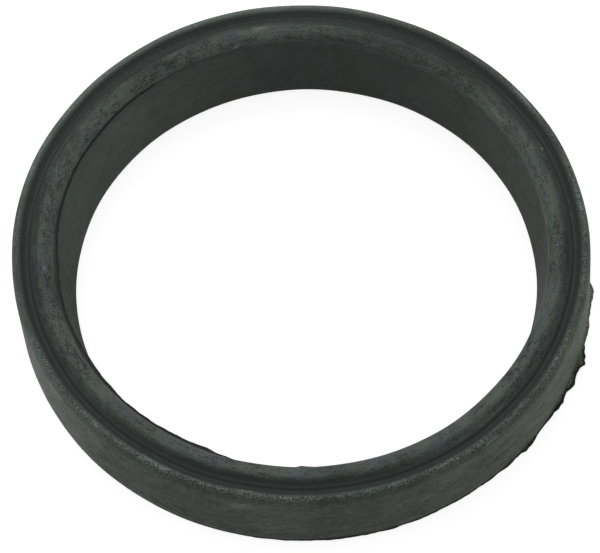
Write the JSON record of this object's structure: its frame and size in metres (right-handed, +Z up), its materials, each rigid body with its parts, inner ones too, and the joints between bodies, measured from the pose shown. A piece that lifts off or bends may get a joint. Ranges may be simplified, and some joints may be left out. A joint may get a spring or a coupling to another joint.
{
  "type": "hose coupling gasket",
  "caption": "Moulded black rubber sealing ring for a large hose coupling: flat seat, tapered bore, rounded inner band, groove and thin outer lip.",
  "frame": {"origin": "centre of the seat, the flat underside that the ring rests on", "axes": "+Z up along the bore's axis, from the seat towards the band and lip; +X and +Y in the seat's plane"},
  "size_m": [0.12, 0.1181, 0.0184],
  "materials": {
    "aged_rubber": "matte aged black rubber with a grey-green bloom, worn light on the crest of the lip, blacker on the moulding flash"
  },
  "bodies": {
    "root": {"gasket": "aged_rubber"}
  },
  "joints": []
}
